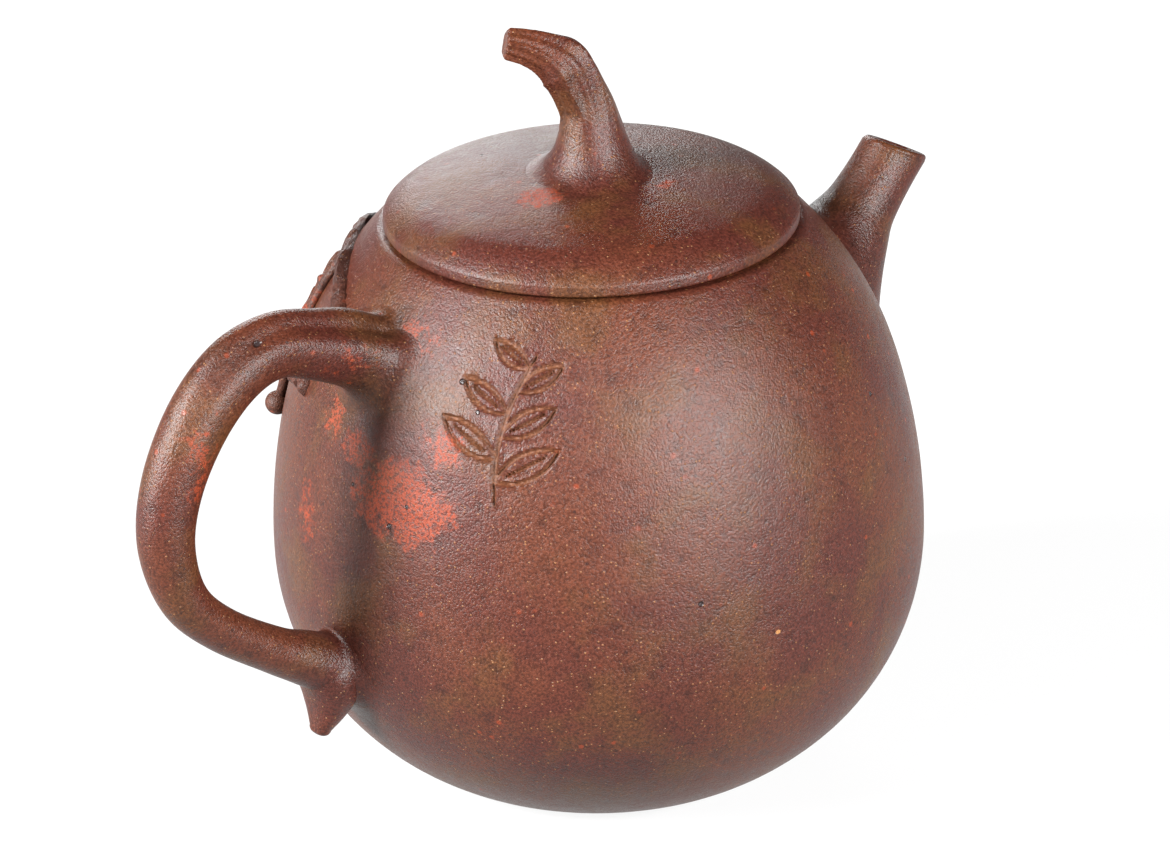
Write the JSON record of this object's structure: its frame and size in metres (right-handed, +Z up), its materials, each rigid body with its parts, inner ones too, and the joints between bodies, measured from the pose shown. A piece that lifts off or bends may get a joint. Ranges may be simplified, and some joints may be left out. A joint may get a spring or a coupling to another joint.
{
  "type": "yixing clay teapot",
  "caption": "Round clay teapot with a gourd-stem lid that lifts and turns, a coil handle, a short spout and an applied vine.",
  "frame": {"origin": "centre of the flat foot, on the pot's axis", "axes": "+Z up along the pot's axis; +X towards the spout and -X towards the handle; +Y the side with the applied vine"},
  "size_m": [0.124, 0.0886, 0.1004],
  "materials": {
    "pot_clay": "satin",
    "lid_clay": "satin",
    "coil_clay": "satin",
    "relief_clay": "satin",
    "inner_clay": "matte"
  },
  "bodies": {
    "pot": {"base_disc": "pot_clay", "body_wall": "pot_clay", "shoulder_disc": "pot_clay", "mouth_ring": "pot_clay", "strainer": "inner_clay", "spout": "coil_clay", "handle": "coil_clay", "handle_spur": "coil_clay", "vine": "relief_clay", "bud_stalk": "relief_clay", "gourd_bud": "relief_clay", "gourd": "relief_clay", "tendril": "relief_clay", "leaf_1": "relief_clay", "leaf_2": "relief_clay", "leaf_3": "relief_clay"},
    "lid_carrier": {"lid_flange": "inner_clay"},
    "lid": {"lid_plate": "lid_clay", "lid_dome": "lid_clay", "lid_stem": "coil_clay"}
  },
  "joints": [
    {"name": "lid_lift", "type": "slide", "parent": "pot", "child": "lid_carrier", "axis": [0, 0, 1], "range_m": [0, 0.05]},
    {"name": "lid_turn", "type": "hinge", "parent": "lid_carrier", "child": "lid", "pos_m": [0, 0, 0.075], "axis": [0, 0, 1], "continuous": true}
  ]
}
